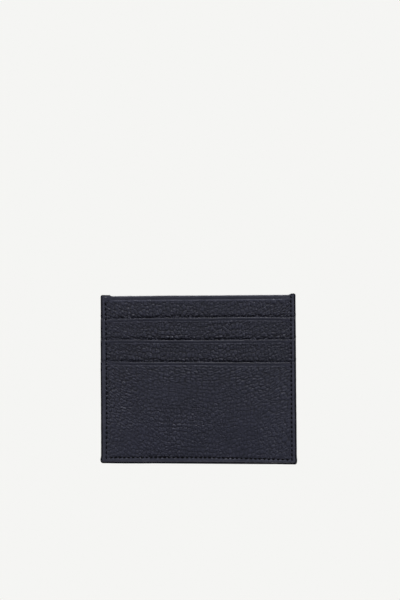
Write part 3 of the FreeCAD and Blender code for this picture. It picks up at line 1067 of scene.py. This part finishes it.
def studio_backdrop():
    """A pale floor and a round wall: a profile of floor, quarter circle and wall, turned about Z."""
    flat, bend, wall = 1.4, 0.6, 2.6
    curve = np.linspace(0, math.pi / 2, 14)
    radius = np.concatenate([np.linspace(0.02, flat, 20), flat + bend * np.sin(curve[1:]), [flat + bend]])
    height = np.concatenate([np.zeros(20), bend * (1 - np.cos(curve[1:])), [wall]])
    turn = np.linspace(0, 2 * math.pi, 73)[:-1]
    points = np.stack([radius[:, None] * np.cos(turn), radius[:, None] * np.sin(turn),
                       height[:, None] + 0 * turn], axis=-1).reshape(-1, 3) / MM
    quads = ring_quads(len(radius), len(turn))[:, ::-1]
    backdrop = make_piece("studio_backdrop", points, quads, [np.arange(len(turn))])
    backdrop.data.materials.append(backdrop_paint())
    backdrop.visible_diffuse = False
    backdrop.visible_glossy = False
    backdrop.visible_shadow = False


def backdrop_paint():
    """Evenly lit pale paper that glows with one colour."""
    material = bpy.data.materials.new("pale_backdrop")
    material.use_nodes = True
    tree = material.node_tree
    tree.nodes.remove(tree.nodes["Principled BSDF"])
    glow = tree.nodes.new("ShaderNodeEmission")
    glow.inputs["Color"].default_value = (*BACKDROP, 1)
    tree.links.new(glow.outputs["Emission"], tree.nodes["Material Output"].inputs["Surface"])
    return material


def soft_lamp(name, place, size, power):
    """A rectangular soft lamp at a place in metres, turned towards the holder."""
    data = bpy.data.lights.new(name, "AREA")
    data.shape = "RECTANGLE"
    data.size, data.size_y = size
    data.energy = power
    lamp = bpy.data.objects.new(name, data)
    bpy.context.collection.objects.link(lamp)
    lamp.location = place
    offset = np.array(LAMP_AIM) - np.array(place)
    level = math.hypot(offset[0], offset[1])
    lamp.rotation_euler = (math.atan2(level, -offset[2]), 0, math.atan2(-offset[0], offset[1]))


def studio_world():
    """Dim surrounding light, brighter from above than from below."""
    world = bpy.data.worlds.new("studio_air")
    bpy.context.scene.world = world
    world.use_nodes = True
    tree = world.node_tree
    place = tree.nodes.new("ShaderNodeTexCoord")
    split = tree.nodes.new("ShaderNodeSeparateXYZ")
    tree.links.new(place.outputs["Generated"], split.inputs["Vector"])
    height = tree.nodes.new("ShaderNodeMapRange")
    height.inputs["From Min"].default_value = -1
    tree.links.new(split.outputs["Z"], height.inputs["Value"])
    background = tree.nodes["Background"]
    tree.links.new(ramp(tree, height.outputs["Result"], WORLD_STOPS), background.inputs["Color"])
    background.inputs["Strength"].default_value = WORLD_STRENGTH


def camera():
    """An almost level camera a little to the right of the front, as high as the top of the holder."""
    data = bpy.data.cameras.new("camera")
    data.lens = CAMERA_LENS
    data.sensor_width = 36.0
    eye = bpy.data.objects.new("camera", data)
    bpy.context.collection.objects.link(eye)
    azimuth = math.radians(CAMERA_AZIMUTH)
    right, forward = math.sin(azimuth), math.cos(azimuth)
    eye.location = (CAMERA_DISTANCE * right, -CAMERA_DISTANCE * forward, CAMERA_HEIGHT)
    yaw = math.radians(CAMERA_AZIMUTH + CAMERA_YAW)
    turn = Matrix.Rotation(yaw, 4, "Z") @ Matrix.Rotation(math.radians(90 + CAMERA_PITCH), 4, "X")
    eye.rotation_euler = (turn @ Matrix.Rotation(math.radians(CAMERA_ROLL), 4, "Z")).to_euler()
    bpy.context.scene.camera = eye


# ------------------------ making the holder

camera()
studio_world()
studio_backdrop()
for name, (place, size, power) in LAMPS.items():
    soft_lamp(name, place, size, power)

leather = pebbled_leather()
cloth = lining_cloth()
bonded = bonded_leather()
paint = edge_paint("painted_edge_satin", 0.16, [(0.0, EDGE_DARK), (1.0, EDGE_PALE)])
# the mouths' paint in lit copies: a painted highlight along each mouth
highlit_lip_paint = edge_paint("highlit_mouth_satin", 0.30, [(0.0, EDGE_PALE), (0.5, LIP_DIM_HIGHLIGHT), (1.0, LIP_BRIGHT_HIGHLIGHT)])
waxed = waxed_thread()

for face in SIDES:
    for layer in LAYERS:
        skin = leather_sheet(face, layer, leather)
        lining_sheet(face, layer, cloth)
        mouth_coat(face, layer, highlit_lip_paint)
        if layer != "panel":
            slot_margins(face, layer, bonded)
    tack_row(face, "upper_slot", waxed)
    tack_row(face, "middle_slot", waxed)
centre_margins(bonded)
for name in ("left", "right", "bottom"):
    painted_edge(name, paint)
side_seam("left", -1, waxed)
side_seam("right", 1, waxed)
bottom_seam(waxed)

bpy.context.scene.view_settings.view_transform = "Standard"
